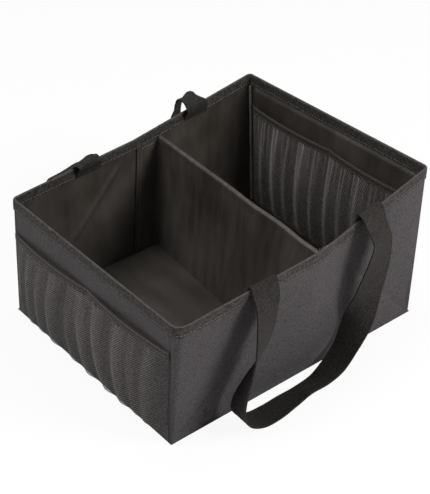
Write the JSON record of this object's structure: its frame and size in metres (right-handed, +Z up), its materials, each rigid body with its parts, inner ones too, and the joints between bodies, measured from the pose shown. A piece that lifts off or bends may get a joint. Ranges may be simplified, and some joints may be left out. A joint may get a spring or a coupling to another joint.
{
  "type": "car storage caddy",
  "caption": "Open soft-sided storage box with stiff floor and ends, a sewn-in divider, gathered netting pockets and long webbing handles.",
  "frame": {"origin": "middle of the underside, on the surface that the box stands on", "axes": "+Z up, +X towards the right end, -Y towards the front long wall"},
  "size_m": [0.4163, 0.4196, 0.217],
  "materials": {
    "woven_cloth": "matt plain weave, dark warm grey",
    "coated_cloth": "semi-gloss coated side, brown-black",
    "hem_cloth": "matt coarse weave, lighter grey",
    "seam_tape": "matt narrow tape, grey",
    "webbing": "matt ribbed webbing, near black",
    "netting": "matt knitted netting, dark grey",
    "elastic": "matt ribbed elastic, near black",
    "board": "plain stiffening board, grey"
  },
  "bodies": {
    "root": {"base_outer": "woven_cloth", "floor_board": "board", "floor_cover": "coated_cloth", "front_wall": "woven_cloth", "back_wall": "woven_cloth", "left_end_outer": "woven_cloth", "left_end_board": "board", "left_end_lining": "coated_cloth", "right_end_outer": "woven_cloth", "right_end_board": "board", "right_end_lining": "coated_cloth", "seam_binding_front_left": "seam_tape", "seam_binding_front_right": "seam_tape", "seam_binding_back_right": "seam_tape", "seam_binding_back_left": "seam_tape", "rim_hem": "hem_cloth", "divider_cover": "coated_cloth", "divider_board": "board", "outer_pocket_net": "netting", "outer_pocket_elastic": "elastic", "inner_pocket_net": "netting", "inner_pocket_elastic": "elastic", "front_handle": "webbing", "back_handle": "webbing"}
  },
  "joints": []
}
